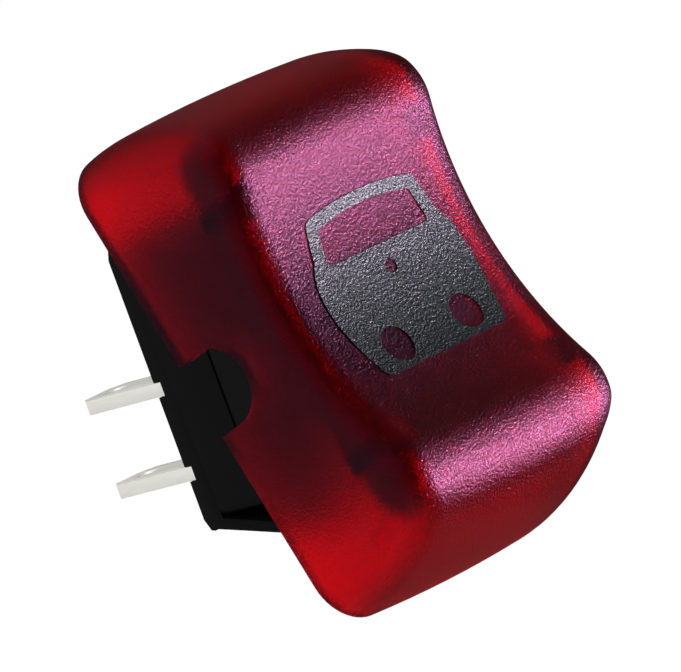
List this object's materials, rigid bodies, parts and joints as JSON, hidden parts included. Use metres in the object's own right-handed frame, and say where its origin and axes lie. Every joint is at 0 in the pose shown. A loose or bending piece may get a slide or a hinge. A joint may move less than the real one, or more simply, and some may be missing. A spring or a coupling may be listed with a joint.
{
  "type": "panel rocker switch",
  "caption": "Snap-in double-pole panel rocker switch with a long skirted translucent red rocker cap, a printed vehicle pictogram and tinned blade terminals",
  "frame": {"origin": "middle of the seat plane, which is the underside of the cover's flange and the face of the panel or boss it snaps into", "axes": "X along the rocker, Y along the pivot, +Z out of the panel towards the finger; the -X end of the rocker is pressed"},
  "size_m": [0.0297, 0.0182, 0.0268],
  "materials": {
    "black_housing": "moulded black thermoplastic, matt",
    "black_rocker": "moulded black thermoplastic, satin",
    "red_cap": "translucent red, fine spark-eroded grain",
    "ink": "printed dark ink",
    "plunger_plastic": "natural acetal",
    "spring_wire": "spring steel wire",
    "tinned_brass": "brass, bright tin plating",
    "silver": "silver contact alloy"
  },
  "bodies": {
    "root": {"housing": "black_housing", "cover": "black_housing", "front_common_terminal": "tinned_brass", "rear_common_terminal": "tinned_brass", "front_load_terminal": "tinned_brass", "rear_load_terminal": "tinned_brass", "front_fixed_rivet": "silver", "rear_fixed_rivet": "silver"},
    "rocker": {"rocker_carrier": "black_rocker", "cap": "red_cap", "vehicle_symbol": "ink", "front_spring": "spring_wire", "rear_spring": "spring_wire"},
    "front_plunger_body": {"front_plunger": "plunger_plastic"},
    "rear_plunger_body": {"rear_plunger": "plunger_plastic"},
    "front_contact": {"front_rocking_contact": "tinned_brass", "front_moving_rivet": "silver"},
    "rear_contact": {"rear_rocking_contact": "tinned_brass", "rear_moving_rivet": "silver"}
  },
  "joints": [
    {"name": "rocker_pivot", "type": "hinge", "parent": "root", "child": "rocker", "pos_m": [0, 0, 0.0017], "axis": [0, 1, 0], "range_deg": [0, 32]},
    {"name": "front_plunger_slide", "type": "slide", "parent": "rocker", "child": "front_plunger_body", "axis": [-0.2756, 0, 0.9613], "range_m": [0, 0.0005], "stiffness_N_per_m": 40, "springref_m": -0.002, "deforming": ["front_spring"]},
    {"name": "rear_plunger_slide", "type": "slide", "parent": "rocker", "child": "rear_plunger_body", "axis": [-0.2756, 0, 0.9613], "range_m": [0, 0.0005], "stiffness_N_per_m": 40, "springref_m": -0.002, "deforming": ["rear_spring"]},
    {"name": "front_contact_pivot", "type": "hinge", "parent": "root", "child": "front_contact", "pos_m": [0, -0.00225, -0.00389], "axis": [0, 1, 0], "range_deg": [-16, 0]},
    {"name": "rear_contact_pivot", "type": "hinge", "parent": "root", "child": "rear_contact", "pos_m": [0, 0.00225, -0.00389], "axis": [0, 1, 0], "range_deg": [-16, 0]}
  ],
  "couplings": [
    {"joint": "front_contact_pivot", "follows": "rocker_pivot", "ratio": -0.5},
    {"joint": "rear_contact_pivot", "follows": "rocker_pivot", "ratio": -0.5}
  ]
}
